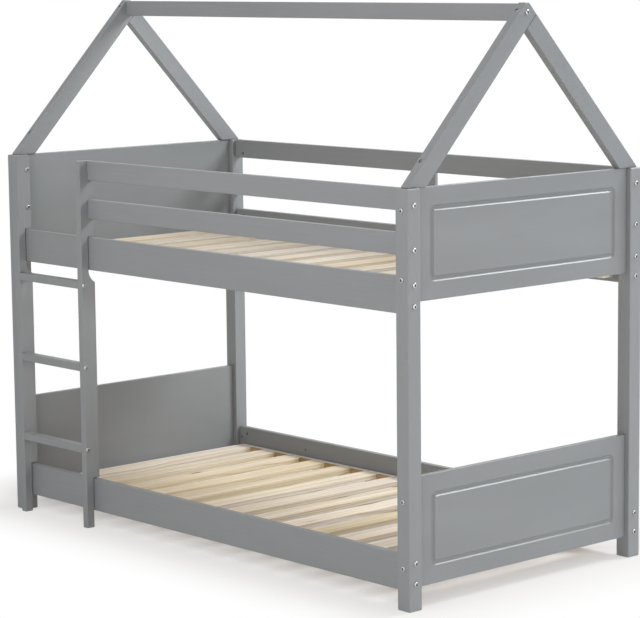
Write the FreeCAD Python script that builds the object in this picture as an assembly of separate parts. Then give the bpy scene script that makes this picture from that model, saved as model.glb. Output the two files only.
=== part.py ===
import FreeCAD, Part
import math
import os

os.makedirs("parts", exist_ok=True)

# Posts, in millimetres. X runs from head to foot, Y from front to back
bed_length = 1990.0  # over the posts
bed_width = 1020.0  # over the posts
post_height = 1245.0
post_side = 52.0
post_round = 4.0

# Side rails and guard rails, both in the middle of the posts
rail_height = 110.0
rail_thickness = 22.0
lower_rail_bottom = 57.0
guard_height = 65.0
guard_gap = 64.0  # between the two guard rails
guard_rail_gap = 62.0  # between the lower guard rail and the upper side rail
board_round = 3.0

# Upright behind the back guard rails
upright_width = 44.0
upright_shift = 65.0  # from the middle of the bed towards the foot
upright_bolt_bite = 14.0

# Headboards and footboards
panel_thickness = 18.0
panel_height = 332.0
lower_panel_bottom = 66.0
panel_round = 2.0
moulding_inset = 54.0
moulding_width = 17.0
moulding_depth = 5.0
moulding_lip = 0.2  # upright part of the moulding's sloping sides
moulding_corner = 3.0  # at the inside of the moulding

# Ladder
stile_thickness = 26.0
stile_neck = 32.0  # depth of a stile in front of the side rails
stile_curve = 42.0  # height of the cove under the upper side rail
notch_clearance = 3.5  # between a stile's notches and the side rails
ladder_clear = 334.0  # between the stiles
lowest_rung_height = 256.0  # to its underside
rung_pitch = 280.0
rung_count = 3
rung_height = 26.0

# Roof
rafter_thickness = 28.0
rafter_depth = 60.0
rafter_inset = 7.0  # from the post's outer face to the rafter's foot
roof_rise = 531.0  # from the posts' tops to the point where the slopes meet
tip_cut = 10.0  # how much of that point is cut off level
ridge_thickness = 24.0
ridge_height = 52.0
ridge_below_tip = 3.0

# Slats and the ledgers that carry them
slat_count = 14
slat_width = 72.0
slat_thickness = 18.0
slat_round = 2.0
slat_end_gap = 3.0  # to the side rails
slat_head_gap = 22.0  # from the head's posts to the first slat
slat_foot_gap = 3.0  # from the last slat to the foot's posts
ledger_height = 13.0
ledger_width = 45.0
ledger_rise = 15.0  # from the side rail's lower edge
ledger_end_gap = 35.0  # to the posts
ledger_round = 1.5

# Fasteners
bolt_diameter = 6.0
bolt_head_diameter = 16.0
bolt_head_height = 3.2
bolt_head_round = 2.4
socket_flats = 8.0
socket_depth = 2.6
bolt_clearance = 0.3
bolt_tip_clearance = 2.0
bolt_past_nut = 8.0
nut_diameter = 10.0
nut_clearance = 0.3
nut_cover = 4.0  # wood left beyond a barrel nut's blind hole
nut_recess = 7.0  # from the board's inner face to the nut
nut_from_joint = 42.0
rail_bolt_spread = 62.0  # between the two bolts in a rail's end
guard_bolt_drop = 17.0  # below the guard rail's middle
bolt_stagger = 15.0  # between bolts that cross in a post, and in a rail
panel_bolt_below_top = 71.0
panel_bolt_bite = 40.0
spare_hole = 8.5
post_blind = 6.0  # wood left in the post beyond the ladder's bolts
stile_bolt_bite = 20.0
rung_bolt_bite = 40.0
ridge_bolt_bite = 50.0
apex_bolt_bite = 50.0
apex_bolt_shift = 10.0  # down the slope from the middle of the butt joint
apex_head_sink = 3.2
foot_screw_inset = 28.0  # from the post's inner face
foot_screw_head = 12.0
foot_screw_seat = 30.0  # wood under the screw's head
foot_screw_bite = 42.0

# Places that follow from these sizes
rail_recess = (post_side - rail_thickness) / 2
panel_recess = (post_side - panel_thickness) / 2
rafter_recess = (post_side - rafter_thickness) / 2
ladder_proud = stile_neck - rail_recess
x_head = -bed_length / 2
x_foot = bed_length / 2
y_front = (ladder_proud - bed_width - bolt_head_height) / 2
y_back = y_front + bed_width
y_middle = (y_front + y_back) / 2
x_inner_head = x_head + post_side
x_inner_foot = x_foot - post_side
y_inner_front = y_front + post_side
y_inner_back = y_back - post_side
y_rail_front = y_front + rail_recess
y_rail_back = y_back - rail_recess - rail_thickness
y_stile_front = y_rail_front - stile_neck
upper_guard_bottom = post_height - guard_height
lower_guard_bottom = upper_guard_bottom - guard_gap - guard_height
upper_rail_bottom = lower_guard_bottom - guard_rail_gap - rail_height
lower_rail_top = lower_rail_bottom + rail_height
upper_rail_top = upper_rail_bottom + rail_height
upper_panel_bottom = post_height - panel_height
x_stile_left = x_inner_head
x_rung = x_stile_left + stile_thickness
x_stile_right = x_rung + ladder_clear
x_guard = x_stile_right + stile_thickness
apex_height = post_height + roof_rise
tip_height = apex_height - tip_cut
ridge_top = tip_height - ridge_below_tip
y_foot_front = y_front + rafter_inset
y_foot_back = y_back - rafter_inset
roof_slope = roof_rise / (y_middle - y_foot_front)
roof_angle = math.atan(roof_slope)
rafter_plumb = rafter_depth / math.cos(roof_angle)

along_x = FreeCAD.Vector(1, 0, 0)
along_y = FreeCAD.Vector(0, 1, 0)
along_z = FreeCAD.Vector(0, 0, 1)

nodes = {}
bolts = []
bolt_holes = []
nuts = []
nut_holes = []


def box(x, y, z, length, width, height):
    return Part.makeBox(length, width, height, FreeCAD.Vector(x, y, z))


def edges_along(shape, direction):
    found = []
    for edge in shape.Edges:
        ends = [vertex.Point for vertex in edge.Vertexes]
        if len(ends) == 2:
            run = ends[1].sub(ends[0])
            if abs(abs(run.normalize().dot(direction)) - 1) < Part.Precision.confusion():
                found.append(edge)
    return found


def board(x, y, z, length, width, height, radius):
    plain = box(x, y, z, length, width, height)
    return plain.makeFillet(radius, plain.Edges)


def extruded(points, thickness):
    outline = Part.makePolygon(points + points[:1])
    return Part.Face(outline).extrude(along_x * thickness)


def hexagon_socket(centre, direction):
    radius = socket_flats / math.sqrt(3)
    corners = []
    for step in range(6):
        angle = math.radians(60 * step)
        corners.append(FreeCAD.Vector(radius * math.cos(angle), radius * math.sin(angle), 0))
    prism = Part.Face(Part.makePolygon(corners + corners[:1])).extrude(along_z * socket_depth)
    prism.Placement = FreeCAD.Placement(centre, FreeCAD.Rotation(along_z, direction))
    return prism


def add_bolt(seat, direction, length, head=bolt_head_diameter, sink=0.0):
    # seat is the middle of the face under the head, sink the depth of the well above it
    shank = Part.makeCylinder(bolt_diameter / 2, length, seat, direction)
    top = seat.sub(direction * bolt_head_height)
    cap = Part.makeCylinder(head / 2, bolt_head_height, top, direction)
    rim = [edge for edge in cap.Edges if edge.CenterOfMass.isEqual(top, bolt_head_round)]
    cap = cap.makeFillet(bolt_head_round, rim)
    bolts.append(shank.fuse(cap).removeSplitter().cut(hexagon_socket(top, direction)))
    bore = bolt_diameter / 2 + bolt_clearance
    bolt_holes.append(Part.makeCylinder(bore, length + bolt_tip_clearance, seat, direction))
    if sink > 0:
        well = seat.sub(direction * sink)
        bolt_holes.append(Part.makeCylinder(head / 2 + bolt_clearance, sink, well, direction))


def add_nut(centre, inward, bolt_direction):
    # inward points from the rail's outer face to the inner one, where the nut goes in
    start = centre.sub(inward * (rail_thickness / 2 - nut_cover))
    length = rail_thickness - nut_cover - nut_recess
    body = Part.makeCylinder(nut_diameter / 2, length, start, inward)
    thread = bolt_diameter / 2 + bolt_clearance
    entry = centre.sub(bolt_direction * nut_diameter)
    cross = Part.makeCylinder(thread, nut_diameter * 2, entry, bolt_direction)
    nuts.append(body.cut(cross))
    nut_holes.append(Part.makeCylinder(nut_diameter / 2 + nut_clearance, length + nut_recess, start, inward))


def bolt_and_nut(seat, direction, through, inward):
    # a bolt through one piece into the end of a rail, where a barrel nut takes it
    add_bolt(seat, direction, through + nut_from_joint + bolt_past_nut)
    add_nut(seat + direction * (through + nut_from_joint), inward, direction)


def drilled(shape):
    for hole in bolt_holes + nut_holes:
        if shape.BoundBox.intersect(hole.BoundBox):
            shape = shape.cut(hole)
    return shape


def post(x, y):
    return board(x, y, 0, post_side, post_side, post_height, post_round)


def moulding_block(x, bottom, margin, corner, x_slope):
    # a rounded block as deep as the moulding, with sloping sides towards x_slope
    block = box(
        x,
        y_inner_front + margin,
        bottom + margin,
        moulding_depth,
        y_inner_back - y_inner_front - 2 * margin,
        panel_height - 2 * margin,
    )
    block = block.makeFillet(corner, edges_along(block, along_x))
    ends = [edge for edge in block.Edges if edge.BoundBox.XLength < moulding_lip]
    rim = [edge for edge in ends if abs(edge.CenterOfMass.x - x_slope) < moulding_lip]
    return block.makeChamfer(moulding_depth - moulding_lip, rim)


def panel(x, bottom, outer_is_head):
    width = y_inner_back - y_inner_front
    shape = board(x, y_inner_front, bottom, panel_thickness, width, panel_height, panel_round)
    cut_x = x if outer_is_head else x + panel_thickness - moulding_depth
    face_x = x if outer_is_head else x + panel_thickness
    floor_x = cut_x + moulding_depth if outer_is_head else cut_x
    slope = moulding_depth - moulding_lip
    inner = moulding_inset + moulding_width - slope
    recess = moulding_block(cut_x, bottom, moulding_inset, moulding_corner + moulding_width, floor_x)
    field = moulding_block(cut_x, bottom, inner, moulding_corner + slope, face_x)
    return shape.cut(recess.cut(field))


def ladder_stile(x):
    y_neck = y_rail_front - notch_clearance
    y_wide = y_rail_front + rail_thickness
    curve_depth = y_wide - y_neck
    shoulder = upper_rail_bottom - stile_curve
    outline = [
        (y_stile_front, 0),
        (y_neck, 0),
        (y_neck, lower_rail_top + notch_clearance),
        (y_wide, lower_rail_top + notch_clearance),
        (y_wide, shoulder),
    ]
    rest = [
        (y_neck, upper_rail_bottom),
        (y_neck, upper_rail_top + notch_clearance),
        (y_wide, upper_rail_top + notch_clearance),
        (y_wide, post_height),
        (y_stile_front, post_height),
        (y_stile_front, 0),
    ]
    radius = (curve_depth**2 + stile_curve**2) / (2 * curve_depth)
    middle = math.asin(stile_curve / radius) / 2
    y_cove = y_neck + radius * (1 - math.cos(middle))
    cove = FreeCAD.Vector(x, y_cove, upper_rail_bottom - radius * math.sin(middle))
    lower = [FreeCAD.Vector(x, y, z) for y, z in outline]
    upper = [FreeCAD.Vector(x, y, z) for y, z in rest]
    curve = Part.Arc(lower[-1], cove, upper[0]).toShape()
    wire = Part.Wire([Part.makePolygon(lower), curve, Part.makePolygon(upper)])
    shape = Part.Face(wire).extrude(along_x * stile_thickness)
    front = []
    for edge in edges_along(shape, along_z):
        if abs(edge.CenterOfMass.y - y_stile_front) < board_round:
            front.append(edge)
    return shape.makeFillet(board_round, front)


def rafter(points, x):
    shape = extruded([FreeCAD.Vector(x, y, z) for y, z in points], rafter_thickness)
    return shape.makeFillet(board_round, shape.Edges)


# Bolts through the posts into the rails, guard rails and panels
lower_rail_bolts = [lower_rail_bottom + (rail_height + side * rail_bolt_spread) / 2 for side in (-1, 1)]
upper_rail_bolts = [upper_rail_bottom + (rail_height + side * rail_bolt_spread) / 2 for side in (-1, 1)]
guard_bolt_rise = guard_height / 2 - guard_bolt_drop
guard_bolts = [bottom + guard_bolt_rise for bottom in (lower_guard_bottom, upper_guard_bottom)]
panel_bolts = [
    lower_rail_bolts[1] - bolt_stagger,
    lower_panel_bottom + panel_height - panel_bolt_below_top,
    upper_rail_bolts[1] + bolt_stagger,
    guard_bolts[1] - bolt_stagger,
]
y_bolt_front = y_front + post_side / 2
y_bolt_back = y_back - post_side / 2

for x_face, inward in ((x_head, along_x), (x_foot, along_x * -1)):
    for y_bolt, room in ((y_bolt_front, along_y), (y_bolt_back, along_y * -1)):
        by_ladder = x_face == x_head and y_bolt == y_bolt_front
        heights = lower_rail_bolts + upper_rail_bolts
        if not by_ladder:
            heights = heights + guard_bolts
        for height in heights:
            bolt_and_nut(FreeCAD.Vector(x_face, y_bolt, height), inward, post_side, room)
    x_bolt = x_face + inward.x * post_side / 2
    for y_face, across in ((y_front, along_y), (y_back, along_y * -1)):
        by_ladder = x_face == x_head and y_face == y_front
        for height in () if by_ladder else panel_bolts:
            add_bolt(FreeCAD.Vector(x_bolt, y_face, height), across, post_side + panel_bolt_bite)

# Bolts of the ladder: left stile to the post, guard rails to the right stile, rungs and side rails
for height in guard_bolts:
    seat = FreeCAD.Vector(x_rung, y_bolt_front, height)
    add_bolt(seat, along_x * -1, stile_thickness + post_side - post_blind)
    seat = FreeCAD.Vector(x_stile_right, y_bolt_front, height)
    bolt_and_nut(seat, along_x, stile_thickness, along_y)

y_rung_bolt = y_front - ladder_proud / 2
rung_bottoms = [lowest_rung_height + index * rung_pitch for index in range(rung_count)]
for bottom in rung_bottoms:
    middle = bottom + rung_height / 2
    add_bolt(FreeCAD.Vector(x_stile_left, y_rung_bolt, middle), along_x, stile_thickness + rung_bolt_bite)
    add_bolt(FreeCAD.Vector(x_guard, y_rung_bolt, middle), along_x * -1, stile_thickness + rung_bolt_bite)

stile_bolt_heights = (lower_rail_bolts[1] - bolt_stagger, upper_rail_bolts[1] - bolt_stagger)
stile_middles = (x_stile_left + stile_thickness / 2, x_stile_right + stile_thickness / 2)
for x_bolt in stile_middles:
    for height in stile_bolt_heights:
        seat = FreeCAD.Vector(x_bolt, y_rail_front + rail_thickness, height)
        add_bolt(seat, along_y * -1, rail_thickness + stile_bolt_bite)
        spare = FreeCAD.Vector(x_bolt, y_rail_back, height)
        bolt_holes.append(Part.makeCylinder(spare_hole / 2, rail_thickness, spare, along_y))

# Bolts from behind through the upright into the rails
upright_depth = y_back - y_rail_back - rail_thickness
for height in [upper_rail_bottom + rail_height / 2] + guard_bolts:
    seat = FreeCAD.Vector(upright_shift, y_back, height)
    add_bolt(seat, along_y * -1, upright_depth + upright_bolt_bite)

# Bolts of the roof: ridge ends, apex joints and rafter feet
x_rafter_head = x_head + rafter_recess
x_rafter_foot = x_foot - rafter_recess - rafter_thickness
ridge_middle = ridge_top - ridge_height / 2
ridge_bolt = rafter_thickness + ridge_bolt_bite
add_bolt(FreeCAD.Vector(x_rafter_head, y_middle, ridge_middle), along_x, ridge_bolt)
add_bolt(FreeCAD.Vector(x_rafter_foot + rafter_thickness, y_middle, ridge_middle), along_x * -1, ridge_bolt)

down_normal = FreeCAD.Vector(0, math.sin(roof_angle), -math.cos(roof_angle))
up_slope = FreeCAD.Vector(0, math.cos(roof_angle), math.sin(roof_angle))
joint_y = y_middle + rafter_plumb / roof_slope / 4
joint_z = apex_height - rafter_plumb * 3 / 4
screw_y = post_side + foot_screw_inset
screw_top = (screw_y - rafter_inset) * roof_slope
for x_rafter in (x_rafter_head, x_rafter_foot):
    x_mid = x_rafter + rafter_thickness / 2
    joint = FreeCAD.Vector(x_mid, joint_y, joint_z) - up_slope * apex_bolt_shift
    seat = joint.sub(down_normal * (rafter_depth - apex_head_sink))
    apex_length = rafter_depth - apex_head_sink + apex_bolt_bite
    add_bolt(seat, down_normal, apex_length, foot_screw_head, rafter_depth)
    for y_screw in (y_front + screw_y, y_back - screw_y):
        seat = FreeCAD.Vector(x_mid, y_screw, post_height + foot_screw_seat)
        add_bolt(seat, along_z * -1, foot_screw_seat + foot_screw_bite, foot_screw_head, screw_top)

# Posts and panels
nodes["post_head_front"] = post(x_head, y_front)
nodes["post_head_back"] = post(x_head, y_inner_back)
nodes["post_foot_front"] = post(x_inner_foot, y_front)
nodes["post_foot_back"] = post(x_inner_foot, y_inner_back)
for level, bottom in (("lower", lower_panel_bottom), ("upper", upper_panel_bottom)):
    nodes[level + "_headboard"] = panel(x_head + panel_recess, bottom, True)
    nodes[level + "_footboard"] = panel(x_foot - panel_recess - panel_thickness, bottom, False)

# Side rails, guard rails, ledgers and slats
inner_length = x_inner_foot - x_inner_head
y_ledger_front = y_rail_front + rail_thickness
y_ledger_back = y_rail_back - ledger_width
slat_start = x_inner_head + slat_head_gap
slat_pitch = (inner_length - slat_head_gap - slat_foot_gap - slat_width) / (slat_count - 1)
slat_length = y_rail_back - y_ledger_front - 2 * slat_end_gap
for level, bottom in (("lower", lower_rail_bottom), ("upper", upper_rail_bottom)):
    for side, y_rail, y_ledger in (
        ("front", y_rail_front, y_ledger_front),
        ("back", y_rail_back, y_ledger_back),
    ):
        nodes[level + "_side_rail_" + side] = board(
            x_inner_head, y_rail, bottom, inner_length, rail_thickness, rail_height, board_round
        )
        nodes[level + "_ledger_" + side] = board(
            x_inner_head + ledger_end_gap,
            y_ledger,
            bottom + ledger_rise,
            inner_length - 2 * ledger_end_gap,
            ledger_width,
            ledger_height,
            ledger_round,
        )
    for index in range(slat_count):
        nodes["%s_slat_%02d" % (level, index + 1)] = board(
            slat_start + index * slat_pitch,
            y_ledger_front + slat_end_gap,
            bottom + ledger_rise + ledger_height,
            slat_width,
            slat_length,
            slat_thickness,
            slat_round,
        )
for level, bottom in (("lower", lower_guard_bottom), ("upper", upper_guard_bottom)):
    for side, y_rail, x_start in (("front", y_rail_front, x_guard), ("back", y_rail_back, x_inner_head)):
        length = x_inner_foot - x_start
        nodes[level + "_guard_rail_" + side] = board(
            x_start, y_rail, bottom, length, rail_thickness, guard_height, board_round
        )
nodes["back_guard_upright"] = board(
    upright_shift - upright_width / 2,
    y_back - upright_depth,
    upper_rail_bottom,
    upright_width,
    upright_depth,
    post_height - upper_rail_bottom,
    board_round,
)

# Ladder
nodes["ladder_stile_left"] = ladder_stile(x_stile_left)
nodes["ladder_stile_right"] = ladder_stile(x_stile_right)
for index, bottom in enumerate(rung_bottoms):
    nodes["ladder_rung_%d" % (index + 1)] = board(
        x_rung, y_stile_front, bottom, ladder_clear, stile_neck, rung_height, board_round
    )

# Rafters, as outlines in Y and Z, and the ridge beam
tip_half = tip_cut / roof_slope
butt_top = (y_middle + rafter_plumb / roof_slope / 2, apex_height - rafter_plumb / 2)
foot_width = rafter_plumb / roof_slope
front_outline = [
    (y_foot_front, post_height),
    (y_middle - tip_half, tip_height),
    (y_middle + tip_half, tip_height),
    butt_top,
    (y_foot_front + foot_width, post_height),
]
back_outline = [
    (y_foot_back, post_height),
    butt_top,
    (y_middle, apex_height - rafter_plumb),
    (y_foot_back - foot_width, post_height),
]
for end, x_rafter in (("head", x_rafter_head), ("foot", x_rafter_foot)):
    nodes["rafter_%s_front" % end] = rafter(front_outline, x_rafter)
    nodes["rafter_%s_back" % end] = rafter(back_outline, x_rafter)
x_ridge = x_rafter_head + rafter_thickness
nodes["ridge_beam"] = board(
    x_ridge,
    y_middle - ridge_thickness / 2,
    ridge_top - ridge_height,
    x_rafter_foot - x_ridge,
    ridge_thickness,
    ridge_height,
    board_round,
)

for name, shape in nodes.items():
    drilled(shape).exportStep("parts/%s.step" % name)
Part.makeCompound(bolts + nuts).exportStep("parts/bolts_and_nuts.step")
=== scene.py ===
import math

import bmesh
import bpy
from mathutils import Matrix, Vector


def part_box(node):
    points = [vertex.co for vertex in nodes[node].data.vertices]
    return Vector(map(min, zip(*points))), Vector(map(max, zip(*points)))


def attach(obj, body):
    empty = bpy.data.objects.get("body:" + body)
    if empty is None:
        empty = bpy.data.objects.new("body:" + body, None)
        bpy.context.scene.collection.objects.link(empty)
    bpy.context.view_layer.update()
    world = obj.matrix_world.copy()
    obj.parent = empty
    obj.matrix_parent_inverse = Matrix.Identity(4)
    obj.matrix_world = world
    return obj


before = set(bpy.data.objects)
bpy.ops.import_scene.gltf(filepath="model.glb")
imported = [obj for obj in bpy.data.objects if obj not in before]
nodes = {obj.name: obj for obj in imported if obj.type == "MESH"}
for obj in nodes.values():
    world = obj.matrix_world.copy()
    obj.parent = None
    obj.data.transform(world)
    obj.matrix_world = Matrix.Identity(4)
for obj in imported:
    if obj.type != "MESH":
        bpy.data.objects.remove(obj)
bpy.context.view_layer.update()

slatCount = 14
slats = [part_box("lower_slat_%02d" % (number + 1)) for number in range(slatCount)]
print("bed frame loaded:", len(nodes), "nodes")


class Wire:
    # a shader socket that can be used in sums, so masks read as plain maths
    def __init__(self, tree, socket=None):
        self.tree = tree
        self.socket = socket

    def node(self, kind, settings=None, sockets=None, out=0):
        made = self.tree.nodes.new("ShaderNode" + kind)
        for name, value in (settings or {}).items():
            setattr(made, name, value)
        for name, value in (sockets or {}).items():
            if isinstance(value, Wire):
                self.tree.links.new(value.socket, made.inputs[name])
            else:
                made.inputs[name].default_value = value
        if isinstance(out, tuple):
            return [Wire(self.tree, made.outputs[each]) for each in out]
        return Wire(self.tree, made.outputs[out])

    def maths(self, operation, *values):
        return self.node("Math", {"operation": operation}, dict(enumerate(values)))

    def __add__(self, other):
        return self.maths("ADD", self, other)

    def __radd__(self, other):
        return self.maths("ADD", other, self)

    def __sub__(self, other):
        return self.maths("SUBTRACT", self, other)

    def __rsub__(self, other):
        return self.maths("SUBTRACT", other, self)

    def __mul__(self, other):
        return self.maths("MULTIPLY", self, other)

    def __rmul__(self, other):
        return self.maths("MULTIPLY", other, self)

    def __truediv__(self, other):
        return self.maths("DIVIDE", self, other)

    def __rtruediv__(self, other):
        return self.maths("DIVIDE", other, self)

    def __pow__(self, other):
        return self.maths("POWER", self, other)


def newFinish(name):
    made = bpy.data.materials.new(name)
    made.use_nodes = True
    shader = made.node_tree.nodes["Principled BSDF"]
    return made, shader, Wire(made.node_tree)


def feed(shader, socketName, wire):
    wire.tree.links.new(wire.socket, shader.inputs[socketName])


def placeXyz(start):
    place = start.node("TexCoord", out="Object")
    return start.node("SeparateXYZ", sockets={0: place}, out=(0, 1, 2))


def joinXyz(x, y, z):
    return x.node("CombineXYZ", sockets={"X": x, "Y": y, "Z": z})


def stretch(vector, factors):
    return vector.node("VectorMath", {"operation": "MULTIPLY"}, {0: vector, 1: factors})


def noise(place, scale=1.0, detail=2.0, roughness=0.5):
    sockets = {"Vector": place, "Scale": scale, "Detail": detail, "Roughness": roughness}
    return place.node("TexNoise", {"noise_dimensions": "3D"}, sockets, "Fac")


def drawnNoise(place, factors, detail=2.0, roughness=0.5):
    # noise with a scale of its own along each axis
    return noise(stretch(place, factors), 1.0, detail, roughness)


def mixColour(amount, first, second):
    return amount.node("Mix", {"data_type": "RGBA"}, {0: amount, 6: first, 7: second}, 2)


def between(value, low, high):
    # 0 below low, 1 above high, eased
    settings = {"interpolation_type": "SMOOTHSTEP"}
    return value.node("MapRange", settings, {"Value": value, "From Min": low, "From Max": high})


def addBump(shader, height, strength, distance):
    sockets = {"Height": height, "Strength": strength, "Distance": distance}
    feed(shader, "Normal", height.node("Bump", sockets=sockets))


def giveFinish(piece, finish):
    piece.data.materials.clear()
    piece.data.materials.append(finish)


# grey lacquer, sprayed on pine that still shows its fibres, or on a smooth board
lacquerLook = {
    "pale": (0.274, 0.282, 0.290, 1),
    "deep": (0.236, 0.244, 0.252, 1),
    "clouds": {"factors": (1.6, 7, 7), "detail": 3},
    "fibres": {"factors": (5, 190, 190), "detail": 4, "roughness": 0.62},
    "pores": {"factors": (30, 1100, 1100)},
    "peelScale": 520.0,
    "cloudTone": 0.62,
    "fibreTone": 0.38,
    "peelTone": 0.08,
    "toneRange": (0.22, 0.78),
    "smoother": 0.05,
    "cloudRough": 0.10,
    "peelRough": 0.06,
    "fibreHeight": 0.55,
    "poreHeight": 0.3,
    "peelHeight": 0.10,
    "bumpDistance": 0.0005,
    "specular": 0.45,
    "roofSlope": math.radians(46.55),
    "middleY": 0.007,
}


def grainPlace(start, grain):
    # object place turned so that X runs along the grain
    x, y, z = placeXyz(start)
    if grain == "x":
        return joinXyz(x, y, z)
    if grain == "y":
        return joinXyz(y, x, z)
    if grain == "z":
        return joinXyz(z, x, y)
    side = y - lacquerLook["middleY"]
    side = side.maths("ABSOLUTE", side)
    slope = lacquerLook["roofSlope"]
    along = side * math.cos(slope) - z * math.sin(slope)
    across = side * math.sin(slope) + z * math.cos(slope)
    return joinXyz(along, across, x)


def greyLacquer(name, grain, fibreShare, roughness, bump=0.35):
    look = lacquerLook
    finish, shader, start = newFinish(name)
    place = grainPlace(start, grain)
    clouds = drawnNoise(place, **look["clouds"])
    fibres = drawnNoise(place, **look["fibres"])
    pores = drawnNoise(place, **look["pores"])
    peel = noise(place, look["peelScale"])
    tone = clouds * look["cloudTone"] + fibres * (look["fibreTone"] * fibreShare)
    tone = tone + peel * look["peelTone"]
    colour = mixColour(between(tone, *look["toneRange"]), look["deep"], look["pale"])
    feed(shader, "Base Color", colour)
    rough = roughness - look["smoother"] + clouds * look["cloudRough"]
    feed(shader, "Roughness", rough + peel * look["peelRough"])
    height = fibres * (look["fibreHeight"] * fibreShare) + pores * (look["poreHeight"] * fibreShare)
    addBump(shader, height + peel * look["peelHeight"], bump, look["bumpDistance"])
    shader.inputs["Specular IOR Level"].default_value = look["specular"]
    return finish


lacquers = {
    "rail": greyLacquer("grey_lacquer_rail", "x", fibreShare=1.0, roughness=0.46),
    "post": greyLacquer("grey_lacquer_post", "z", fibreShare=1.0, roughness=0.44),
    "panel": greyLacquer("grey_lacquer_panel", "y", fibreShare=0.35, roughness=0.33),
    "rafter": greyLacquer("grey_lacquer_rafter", "rafter", fibreShare=0.8, roughness=0.46, bump=0.15),
}

# clear pine of the slats, ledgers and spacers, where each board gets its own dice; painted light makes
# the lower deck and the ledgers lighter, and painted shade makes the spacers darker and browner
pineLook = {
    "pale": (0.775, 0.695, 0.615, 1),
    "ochre": (0.700, 0.590, 0.415, 1),
    "late": (0.475, 0.350, 0.220, 1),
    "knot": (0.205, 0.115, 0.055, 1),
    "slatTint": (1.07, 1.07, 1.07),
    # painted light: the ledgers are made lighter because they sit in shade under the slats and the back
    # rail
    "ledgerPaintedLight": (1.3, 1.3, 1.3),
    # painted shade: the spacers are made darker and browner than the slats, standing for the shade in
    # the gaps at the slats' ends
    "spacerPaintedShade": (0.60, 0.485, 0.295),
    "firstEdge": slats[0][0][0],
    "slatWidth": slats[0][1][0] - slats[0][0][0],
    "pitch": (slats[-1][0][0] - slats[0][0][0]) / (slatCount - 1),
    "edgeRoom": 0.03,
    "upperFrom": 0.5,
    "upperRise": 0.822,
    "upperNumbers": 31,
    "ledgerNumbers": 71,
    "runShift": 9,
    "wander": {"factors": (2.2, 9, 9)},
    "wanderWidth": 0.016,
    "slant": 0.012,
    "pithSpread": 0.07,
    "pithHeight": 0.074,
    "pithRange": 0.045,
    "ringWidth": 0.0062,
    "lateRise": (0.25, 0.86),
    "lateFall": (0.90, 1.0),
    "bandAcross": 0.46,
    "bandAlong": 0.5,
    "ochreSpread": 0.36,
    "ochreRange": (0.36, 0.64),
    "lateLeast": 0.18,
    "lateMore": 0.62,
    "fibres": {"factors": (14, 620, 620), "detail": 3, "roughness": 0.6},
    "fibreRange": (0.35, 0.75),
    "fibreShare": 0.10,
    "canals": {"factors": (26, 1300, 1300), "detail": 1},
    "canalRange": (0.66, 0.76),
    "canalShare": 0.16,
    "knotAlong": 2.6,
    "knotAcross": 11,
    "knotShift": 5,
    "knotRandomness": 0.8,
    "knotRarity": 0.72,
    "knotReach": (0.0, 0.32),
    "knotBend": 0.006,
    "coreRange": (0.045, 0.085),
    "coreShare": 0.85,
    "rimRange": (0.06, 0.17),
    "rimShare": 0.45,
    "shadeSpread": 0.16,
    "storeyPaintedLight": 0.19,
    "roughness": 0.66,
    "fibreRough": 0.14,
    "lateRough": 0.07,
    "fibreHeight": 0.5,
    "lateHeight": 0.25,
    "knotDepth": 0.3,
    "bump": 0.35,
    "bumpDistance": 0.0006,
    "specular": 0.22,
}


def boardPlace(grain, x, y, storey):
    # the board's number, and the place across and along it
    look = pineLook
    if grain == "x":
        number = y.maths("GREATER_THAN", y, 0) + storey * 2 + look["ledgerNumbers"]
        return number, y, x
    steps = (x - (look["firstEdge"] - look["edgeRoom"])) / look["pitch"]
    number = steps.maths("FLOOR", steps)
    across = x - (number * look["pitch"] + (look["firstEdge"] + look["slatWidth"] / 2))
    return number + storey * look["upperNumbers"], across, y


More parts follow.
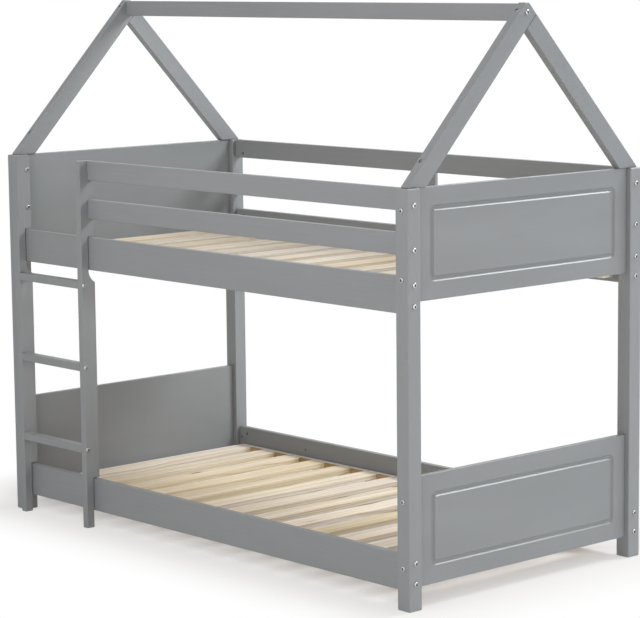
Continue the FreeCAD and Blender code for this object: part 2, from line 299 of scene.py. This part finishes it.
def clearPine(name, grain, tintAndPaintedLight):
    look = pineLook
    finish, shader, start = newFinish(name)
    x, y, z = placeXyz(start)
    storey = z.maths("GREATER_THAN", z, look["upperFrom"])
    number, across, along = boardPlace(grain, x, y, storey)
    dice = start.node("TexWhiteNoise", {"noise_dimensions": "1D"}, {"W": number}, "Color")
    diceA, diceB, diceC = start.node("SeparateColor", sockets={0: dice}, out=(0, 1, 2))
    run = along + diceA * look["runShift"]
    board = joinXyz(run, across, z)

    knotSide = across * look["knotAcross"] + diceB * look["knotShift"]
    knotPlace = joinXyz(run * look["knotAlong"], knotSide, number)
    knotSettings = {"voronoi_dimensions": "3D", "feature": "F1"}
    knotSockets = {"Vector": knotPlace, "Scale": 1.0, "Randomness": look["knotRandomness"]}
    knotGap, knotDice = start.node("TexVoronoi", knotSettings, knotSockets, ("Distance", "Color"))
    knotPick = start.node("SeparateColor", sockets={0: knotDice}, out=0)
    knotThere = knotPick.maths("GREATER_THAN", knotPick, look["knotRarity"])
    knotBend = (1 - between(knotGap, *look["knotReach"])) * knotThere
    knotCore = (1 - between(knotGap, *look["coreRange"])) * knotThere
    knotRim = (1 - between(knotGap, *look["rimRange"])) * knotThere

    wander = drawnNoise(board, **look["wander"]) - 0.5
    sideways = across + (diceA - 0.5) * look["pithSpread"] + wander * look["wanderWidth"]
    sideways = sideways + run * look["slant"] * (diceC - 0.5)
    inwards = z - storey * look["upperRise"] - look["pithHeight"] + diceB * look["pithRange"]
    radius = (sideways * sideways + inwards * inwards) ** 0.5 + knotBend * look["knotBend"]
    rings = (radius + diceC) / look["ringWidth"]
    part = rings.maths("FRACT", rings)
    lateWood = between(part, *look["lateRise"]) * (1 - between(part, *look["lateFall"]))
    bands = noise(joinXyz(rings * look["bandAcross"], run * look["bandAlong"], number))
    fibres = drawnNoise(board, **look["fibres"])
    canals = between(drawnNoise(board, **look["canals"]), *look["canalRange"])

    ochreShare = between(bands + (diceB - 0.5) * look["ochreSpread"], *look["ochreRange"])
    lateShare = lateWood * (look["lateLeast"] + look["lateMore"] * bands)
    fineShare = between(fibres, *look["fibreRange"]) * look["fibreShare"]
    fineShare = canals * look["canalShare"] + fineShare
    colour = mixColour(ochreShare, look["pale"], look["ochre"])
    colour = mixColour(lateShare, colour, look["late"])
    colour = mixColour(fineShare, colour, look["late"])
    colour = mixColour(knotRim * look["rimShare"], colour, look["late"])
    colour = mixColour(knotCore * look["coreShare"], colour, look["knot"])
    # painted light: the lower deck, which sits in the upper deck's shade, is made lighter than the
    # upper one
    shade = 1 + diceC * look["shadeSpread"] - storey * look["storeyPaintedLight"]
    # the tint factor carries painted light on the ledgers and painted shade on the spacers
    sockets = {0: stretch(colour, tintAndPaintedLight), "Scale": shade}
    feed(shader, "Base Color", start.node("VectorMath", {"operation": "SCALE"}, sockets))
    rough = look["roughness"] + fibres * look["fibreRough"] - lateWood * look["lateRough"]
    feed(shader, "Roughness", rough)
    height = fibres * look["fibreHeight"] + lateWood * look["lateHeight"] - knotCore * look["knotDepth"]
    addBump(shader, height, look["bump"], look["bumpDistance"])
    shader.inputs["Specular IOR Level"].default_value = look["specular"]
    return finish


pines = {
    "slat": clearPine("clear_pine_slat_painted_light", "y", pineLook["slatTint"]),
    "ledger": clearPine("clear_pine_ledger_painted_light", "x", pineLook["ledgerPaintedLight"]),
    "spacer": clearPine("pine_spacer_painted_shade", "x", pineLook["spacerPaintedShade"]),
}

# zinc plate of the bolts and staples, with painted shade where it is hollow and where a head meets the
# wood
zincLook = {
    "bright": (0.55, 0.555, 0.56, 1),
    "dull": (0.36, 0.365, 0.38, 1),
    "paintedHollowShade": (0.025, 0.026, 0.030, 1),
    "spangle": {"scale": 420.0, "detail": 3},
    "scratch": {"factors": (300, 2600, 900)},
    "hollowReach": 0.006,
    "hollowSamples": 8,
    "openRange": (0.30, 0.86),
    "roughness": 0.16,
    "spangleRough": 0.14,
    "scratchRough": 0.08,
    "spangleHeight": 0.3,
    "scratchHeight": 0.4,
    "bump": 0.2,
    "bumpDistance": 0.0002,
}


def zincPlate():
    look = zincLook
    finish, shader, start = newFinish("zinc_plate_painted_shade")
    place = start.node("TexCoord", out="Object")
    spangle = noise(place, **look["spangle"])
    scratch = drawnNoise(place, **look["scratch"])
    hollowSettings = {"samples": look["hollowSamples"]}
    openness = start.node("AmbientOcclusion", hollowSettings, {"Distance": look["hollowReach"]}, "AO")
    plate = mixColour(spangle, look["dull"], look["bright"])
    # painted shade: ambient occlusion turns the plate near black in the sockets and at the ring where a
    # head meets the wood
    feed(shader, "Base Color", mixColour(between(openness, *look["openRange"]), look["paintedHollowShade"], plate))
    rough = look["roughness"] + spangle * look["spangleRough"] + scratch * look["scratchRough"]
    feed(shader, "Roughness", rough)
    height = scratch * look["scratchHeight"] + spangle * look["spangleHeight"]
    addBump(shader, height, look["bump"], look["bumpDistance"])
    shader.inputs["Metallic"].default_value = 1.0
    return finish


zinc = zincPlate()
print("finishes made")

# which finish each bed piece gets
finishOf = {
    "post": lacquers["post"],
    "ladder_stile": lacquers["post"],
    "headboard": lacquers["panel"],
    "footboard": lacquers["panel"],
    "side_rail": lacquers["rail"],
    "guard_rail": lacquers["rail"],
    "guard_upright": lacquers["post"],
    "ladder_rung": lacquers["rail"],
    "ridge_beam": lacquers["rail"],
    "rafter": lacquers["rafter"],
    "ledger": pines["ledger"],
    "slat": pines["slat"],
    "bolts_and_nuts": zinc,
}
for name, piece in nodes.items():
    giveFinish(piece, next(finish for part, finish in finishOf.items() if part in name))
print("bed pieces finished")

smoothAngle = math.radians(35)


def startPiece(name, addShape, **settings):
    bpy.ops.object.select_all(action="DESELECT")
    addShape(**settings)
    piece = bpy.context.object
    piece.name = name
    bpy.ops.object.transform_apply(location=True, rotation=True, scale=True)
    return piece


def pick(piece, mode, test):
    # edit mode: selects the edges or faces whose middle passes the test
    bpy.ops.mesh.select_mode(type=mode)
    bpy.ops.mesh.select_all(action="DESELECT")
    shape = bmesh.from_edit_mesh(piece.data)
    for item in shape.edges if mode == "EDGE" else shape.faces:
        middle = sum((corner.co for corner in item.verts), Vector()) / len(item.verts)
        item.select_set(bool(test(middle)))
    bmesh.update_edit_mesh(piece.data)


def applyModifier(piece, kind, **settings):
    bpy.ops.object.select_all(action="DESELECT")
    bpy.context.view_layer.objects.active = piece
    piece.select_set(True)
    modifier = piece.modifiers.new(kind.lower(), kind)
    for setting, value in settings.items():
        setattr(modifier, setting, value)
    bpy.ops.object.modifier_apply(modifier=modifier.name)


def copyPiece(piece, name, shift):
    twin = piece.copy()
    twin.data = piece.data.copy()
    twin.name = name
    twin.data.transform(Matrix.Translation(shift))
    bpy.context.scene.collection.objects.link(twin)
    return twin


def joinPieces(pieces, name):
    bpy.ops.object.select_all(action="DESELECT")
    for piece in pieces:
        piece.select_set(True)
    bpy.context.view_layer.objects.active = pieces[0]
    bpy.ops.object.join()
    pieces[0].name = name
    return pieces[0]


def settle(piece, finish):
    bpy.ops.object.select_all(action="DESELECT")
    bpy.context.view_layer.objects.active = piece
    piece.select_set(True)
    bpy.ops.object.shade_smooth_by_angle(angle=smoothAngle)
    giveFinish(piece, finish)
    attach(piece, "root")


# cotton tape along the slats' ends
tapeLook = {
    "width": 0.018,
    "thickness": 0.0009,
    "round": 0.0003,
    "lift": 0.0001,
    "endInset": 0.004,
    "sideInset": 0.0015,
    "sag": 0.0002,
    "sagSteps": (0.65, 0.35, -0.35, -0.65),
    "pale": (0.98, 0.955, 0.92, 1),
    "deep": (0.90, 0.865, 0.82, 1),
    "threads": 900.0,
    "zigzags": 250,
    "zigzagSwing": 3,
    "ridgeRise": (0.0, 0.4),
    "ridgeFall": (0.6, 1.0),
    "slub": {"factors": (60, 900, 900), "detail": 3},
    "wornScale": 14.0,
    "ridgeTone": 0.6,
    "slubTone": 0.3,
    "wornTone": 0.25,
    "roughness": 0.82,
    "slubRough": 0.15,
    "slubHeight": 0.4,
    "bump": 0.5,
    "bumpDistance": 0.0003,
    "specular": 0.15,
}
tapeY = slats[0][1][1] - tapeLook["sideInset"] - tapeLook["width"] / 2  # middle line of the back tape


def tapeCotton():
    look = tapeLook
    finish, shader, start = newFinish("tape_cotton")
    place = start.node("TexCoord", out="Object")
    x, y = start.node("SeparateXYZ", sockets={0: place}, out=(0, 1))
    swing = y * look["zigzags"]
    zigzag = swing.maths("PINGPONG", swing, 0.5) * 2
    thread = x * look["threads"] + zigzag * look["zigzagSwing"]
    twill = thread.maths("FRACT", thread)
    ridge = between(twill, *look["ridgeRise"]) * (1 - between(twill, *look["ridgeFall"]))
    slub = drawnNoise(place, **look["slub"])
    worn = noise(place, look["wornScale"])
    tone = ridge * look["ridgeTone"] + slub * look["slubTone"] + worn * look["wornTone"]
    feed(shader, "Base Color", mixColour(tone, look["deep"], look["pale"]))
    feed(shader, "Roughness", look["roughness"] + slub * look["slubRough"])
    addBump(shader, ridge + slub * look["slubHeight"], look["bump"], look["bumpDistance"])
    shader.inputs["Specular IOR Level"].default_value = look["specular"]
    return finish


def makeTape():
    # one strip, drawn out from slat to slat
    look = tapeLook
    low, high = slats[0]
    left = low[0] + look["endInset"]
    middle = (left + look["width"] / 2, tapeY, high[2] + look["lift"])
    addPlane = bpy.ops.mesh.primitive_plane_add
    piece = startPiece("lower_tape_back", addPlane, size=look["width"], location=middle)
    bpy.ops.object.mode_set(mode="EDIT")
    reach = left + look["width"]
    pick(piece, "EDGE", lambda at: at.x > middle[0] + look["width"] / 4)
    for index, (low, high) in enumerate(slats):
        if index:
            stride = (low[0] - reach) / len(look["sagSteps"])
            for drop in look["sagSteps"]:
                step = {"value": (stride, 0, -drop * look["sag"])}
                bpy.ops.mesh.extrude_region_move(TRANSFORM_OT_translate=step)
            reach = low[0]
        end = high[0] - (look["endInset"] if index == slatCount - 1 else 0)
        for half in range(2):
            step = {"value": ((end - reach) / 2, 0, 0)}
            bpy.ops.mesh.extrude_region_move(TRANSFORM_OT_translate=step)
        reach = end
    bpy.ops.mesh.select_all(action="SELECT")
    bpy.ops.mesh.normals_make_consistent(inside=False)
    bpy.ops.object.mode_set(mode="OBJECT")
    if piece.data.polygons[0].normal.z < 0:
        piece.data.flip_normals()
    applyModifier(piece, "SOLIDIFY", thickness=look["thickness"], offset=1.0)
    applyModifier(piece, "BEVEL", width=look["round"], segments=2, limit_method="ANGLE")
    return piece


# two staples on each slat
stapleLook = {
    "crown": 0.0105,
    "wire": 0.0013,
    "thickness": 0.0006,
    "legWidth": 0.00072,
    "leg": 0.004,
    "round": 0.00036,
    "rise": 0.00024,
    "spread": 0.017,
}


def makeStaple():
    look = stapleLook
    piece = startPiece("staple", bpy.ops.mesh.primitive_cube_add, size=1.0, location=(0, 0, 0))
    bpy.ops.object.mode_set(mode="EDIT")
    bpy.ops.transform.resize(value=(look["wire"], look["crown"], look["thickness"]))
    legEdge = look["crown"] / 2 - look["legWidth"]
    for side in (-1, 1):
        bpy.ops.mesh.select_all(action="SELECT")
        bpy.ops.mesh.bisect(plane_co=(0, side * legEdge, 0), plane_no=(0, 1, 0))
    slack = look["thickness"] / 4
    pick(piece, "FACE", lambda at: at.z < -slack and abs(at.y) > legEdge)
    bpy.ops.mesh.extrude_region_move(TRANSFORM_OT_translate={"value": (0, 0, -look["leg"])})
    pick(piece, "EDGE", lambda at: at.z > slack and abs(at.y) > look["crown"] / 2 - slack)
    bpy.ops.mesh.bevel(offset=look["round"], segments=2)
    bpy.ops.mesh.select_all(action="SELECT")
    bpy.ops.mesh.normals_make_consistent(inside=False)
    bpy.ops.object.mode_set(mode="OBJECT")
    return piece


def makeStaples():
    places = []
    for low, high in slats:
        for side in (-1, 1):
            x = (low[0] + high[0]) / 2 + side * stapleLook["spread"]
            places.append((x, tapeY, high[2] + tapeLook["thickness"] + stapleLook["rise"]))
    staple = makeStaple()
    row = [copyPiece(staple, "staple", place) for place in places[1:]]
    staple.data.transform(Matrix.Translation(places[0]))
    return joinPieces([staple] + row, "lower_staples_back")


# pine blocks on the ledger that keep the slats' ends apart
spacerLook = {"depth": 0.026, "play": 0.0004, "drop": 0.0006, "round": 0.0008}


def makeSpacers():
    look = spacerLook
    (low, high), after = slats[0], slats[1][0]
    size = (after[0] - high[0] - 2 * look["play"], look["depth"], high[2] - low[2] - look["drop"])
    spacer = startPiece("spacer", bpy.ops.mesh.primitive_cube_add, size=1.0, location=(0, 0, 0))
    bpy.ops.object.mode_set(mode="EDIT")
    bpy.ops.transform.resize(value=size)
    bpy.ops.mesh.select_all(action="SELECT")
    bpy.ops.mesh.bevel(offset=look["round"], segments=2)
    bpy.ops.object.mode_set(mode="OBJECT")
    middle = ((high[0] + after[0]) / 2, high[1] - size[1] / 2, low[2] + size[2] / 2)
    spacer.data.transform(Matrix.Translation(middle))
    row = [spacer]
    for slat in slats[1:-1]:
        row.append(copyPiece(spacer, "spacer", (slat[1][0] - high[0], 0, 0)))
    return joinPieces(row, "lower_spacers_back")


def trimSlats():
    # the lower back row of each trim is made, and the other three rows are copies
    low, high = slats[0]
    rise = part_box("upper_slat_01")[0][2] - low[2]
    tapeShift = low[1] + high[1] - 2 * tapeY
    spacerShift = low[1] - high[1] + spacerLook["depth"]
    trims = (
        (makeTape(), "tape", tapeShift, tapeCotton(), None),
        (makeStaples(), "staples", tapeShift, zinc, "zinc"),
        (makeSpacers(), "spacers", spacerShift, pines["spacer"], "pine"),
    )
    for level, side in (("lower", "front"), ("upper", "back"), ("upper", "front")):
        up = rise if level == "upper" else 0
        for piece, kind, shift, finish, slot in trims:
            forward = shift if side == "front" else 0
            settle(copyPiece(piece, "%s_%s_%s" % (level, kind, side), (0, forward, up)), finish)
    for piece, kind, shift, finish, slot in trims:
        settle(piece, finish)


trimSlats()
print("slat tapes, staples and spacers made")

# floor, light and camera
studio = {
    "floorSize": 16.0,
    "floorColour": (0.92, 0.905, 0.89, 1),
    "shadeColour": (0.68, 0.635, 0.61, 1),
    "white": (1, 1, 1, 1),
    "bedEnd": 0.98,
    "bedFront": -0.47,
    "bedBack": 0.66,
    "headShade": 0.24,
    "headFade": (-0.55, -0.25),
    "edgeGlow": 0.58,
    "edgeRange": (-0.30, 0.02),
    "shadeRange": (-0.05, 0.36),
    "skyColour": (0.96, 1.0, 0.99, 1),
    "skyStrength": 0.195,
}
lamps = {
    "backLamp": {
        "place": (1.6, 3.1, 3.9),
        "aim": (0.2, 0.0, 0.7),
        "size": 1.6,
        "watts": 208,
        "colour": (0.93, 0.985, 1),
    },
    "roofLamp": {
        "place": (0.0, 0.6, 3.7),
        "aim": (0.0, 0.2, 0.0),
        "size": 3.6,
        "watts": 12,
        "colour": (0.95, 0.95, 1),
    },
    "rightLamp": {
        "place": (4.6, 1.0, 0.6),
        "aim": (0.8, 0.0, 0.5),
        "size": 2.2,
        "watts": 60,
        "colour": (1, 0.98, 1),
    },
    "frontLamp": {
        "place": (0.3, -3.0, 3.4),
        "aim": (0.2, -0.1, 0.5),
        "size": 2.2,
        "watts": 60,
        "colour": (1, 0.965, 0.945),
    },
    "leftLamp": {
        "place": (-4.6, 0.4, 1.5),
        "aim": (-0.8, 0.0, 0.7),
        "size": 2.4,
        "watts": 30,
        "colour": (1, 1, 1),
    },
    "cameraLamp": {
        "place": (3.4, -4.6, 1.6),
        "aim": (0.0, -0.2, 0.5),
        "size": 3.0,
        "watts": 66,
        "colour": (0.985, 1, 1),
    },
}


def seenRays(start):
    # 1 for what is seen directly, in a reflection or through glass, 0 for light that bounces
    kinds = ("Is Camera Ray", "Is Glossy Ray", "Is Transmission Ray")
    camera, glossy, through = start.node("LightPath", out=kinds)
    return camera.maths("MAXIMUM", camera.maths("MAXIMUM", camera, glossy), through)


def makeFloor():
    look = studio
    bpy.ops.object.select_all(action="DESELECT")
    bpy.ops.mesh.primitive_plane_add(size=look["floorSize"], location=(0, 0, 0))
    floor = bpy.context.object
    floor.name = "studio_floor"
    finish = bpy.data.materials.new("studio_floor")
    finish.use_nodes = True
    tree = finish.node_tree
    tree.nodes.clear()
    start = Wire(tree)
    x, y = placeXyz(start)[:2]
    seen = seenRays(start)
    headX = -look["bedEnd"] - x - look["headShade"] * between(y, *look["headFade"])
    endX = x.maths("MAXIMUM", headX, x - look["bedEnd"])
    sideY = y.maths("MAXIMUM", look["bedFront"] - y, y - look["bedBack"])
    gap = x.maths("MAXIMUM", endX, sideY)  # outwards from the bed's edge, less than 0 under the bed
    edgeGlow = look["edgeGlow"] * between(gap, *look["edgeRange"])
    glowShare = seen * (edgeGlow + (1 - edgeGlow) * between(gap, *look["shadeRange"]))
    # painted shade: the camera sees the floor in the darker shade colour, while bounced light sees the
    # paler floor colour; the white glow is withheld under the bed and behind its head end, so the
    # painted shade shows there
    colour = mixColour(seen, look["floorColour"], look["shadeColour"])
    matt = start.node("BsdfDiffuse", sockets={"Color": colour})
    glow = start.node("Emission", sockets={"Color": look["white"], "Strength": 1.0})
    mixed = start.node("MixShader", sockets={0: glowShare, 1: matt, 2: glow})
    tree.links.new(mixed.socket, tree.nodes.new("ShaderNodeOutputMaterial").inputs["Surface"])
    giveFinish(floor, finish)


def makeSky():
    look = studio
    world = bpy.data.worlds.new("studio_sky")
    bpy.context.scene.world = world
    world.use_nodes = True
    tree = world.node_tree
    tree.nodes.clear()
    start = Wire(tree)
    skySockets = {"Color": look["skyColour"], "Strength": look["skyStrength"]}
    light = start.node("Background", sockets=skySockets)
    white = start.node("Background", sockets={"Color": look["white"], "Strength": 1.0})
    mixed = start.node("MixShader", sockets={0: seenRays(start), 1: light, 2: white})
    tree.links.new(mixed.socket, tree.nodes.new("ShaderNodeOutputWorld").inputs["Surface"])


def makeLamps():
    for name, look in lamps.items():
        data = bpy.data.lights.new(name, "AREA")
        data.shape = "SQUARE"
        data.size = look["size"]
        data.energy = look["watts"]
        data.color = look["colour"]
        lamp = bpy.data.objects.new(name, data)
        bpy.context.scene.collection.objects.link(lamp)
        lamp.location = look["place"]
        toAim = Vector(look["aim"]) - Vector(look["place"])
        lamp.rotation_euler = toAim.to_track_quat("-Z", "Y").to_euler()


cameraLook = {
    "place": (6.03986, -5.35991, 1.88498),
    "yaw": 48.16,
    "pitch": 7.99,
    "roll": -0.62,
    "focalPixels": 2456.54,
    "imageWidth": 640,
    "sensorWidth": 36,
}


def makeCamera():
    look = cameraLook
    data = bpy.data.cameras.new("photo_camera")
    data.sensor_width = look["sensorWidth"]
    data.lens = look["focalPixels"] * look["sensorWidth"] / look["imageWidth"]
    camera = bpy.data.objects.new("photo_camera", data)
    bpy.context.scene.collection.objects.link(camera)
    turn = Matrix.Rotation(math.radians(look["yaw"]), 4, "Z")
    turn = turn @ Matrix.Rotation(math.radians(90 - look["pitch"]), 4, "X")
    turn = turn @ Matrix.Rotation(math.radians(look["roll"]), 4, "Z")
    camera.matrix_world = Matrix.Translation(look["place"]) @ turn
    bpy.context.scene.camera = camera


makeFloor()
makeSky()
makeLamps()
makeCamera()
bpy.context.scene.view_settings.view_transform = "Standard"
print("studio set")

bpy.context.view_layer.update()
